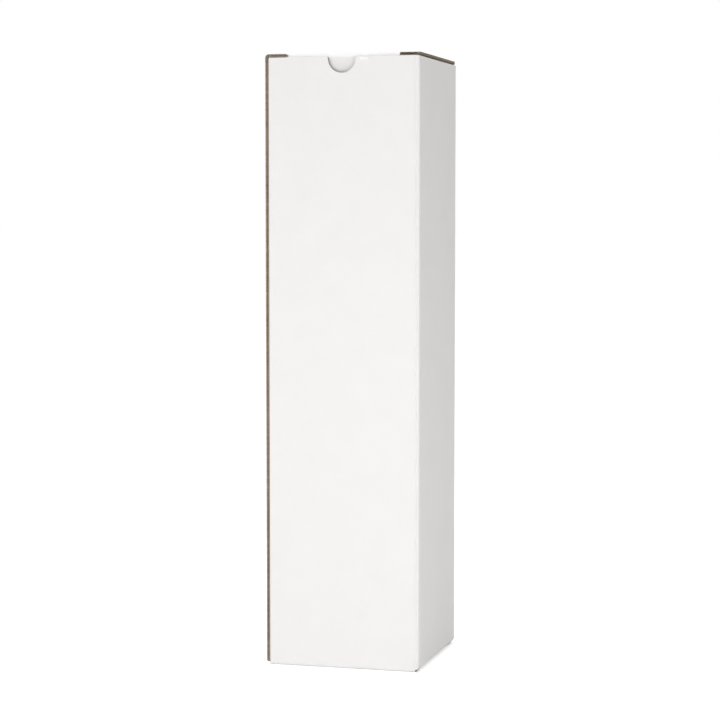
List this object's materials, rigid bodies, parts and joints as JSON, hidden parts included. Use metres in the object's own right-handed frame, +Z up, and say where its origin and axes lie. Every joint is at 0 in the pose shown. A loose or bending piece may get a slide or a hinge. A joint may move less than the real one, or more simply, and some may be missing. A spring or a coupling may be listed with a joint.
{
  "type": "tall mailing box",
  "caption": "Tall square tuck-top mailing box of white-lined corrugated board, with a thumb notch, a hinged lid with a tuck flap, dust flaps and a folded bottom.",
  "frame": {"origin": "on the floor under the centre of the box", "axes": "+Z up along the box, -Y out of the front panel with the thumb notch, +X to the right seen from the front"},
  "size_m": [0.0852, 0.0852, 0.33],
  "materials": {
    "white_lined_board": "matte"
  },
  "bodies": {
    "carton": {"carton": "white_lined_board"},
    "lid": {"lid": "white_lined_board"}
  },
  "joints": [
    {"name": "lid_hinge", "type": "hinge", "parent": "carton", "child": "lid", "pos_m": [0, 0.04201, 0.32941], "axis": [-1, 0, 0], "range_deg": [0, 180]}
  ]
}
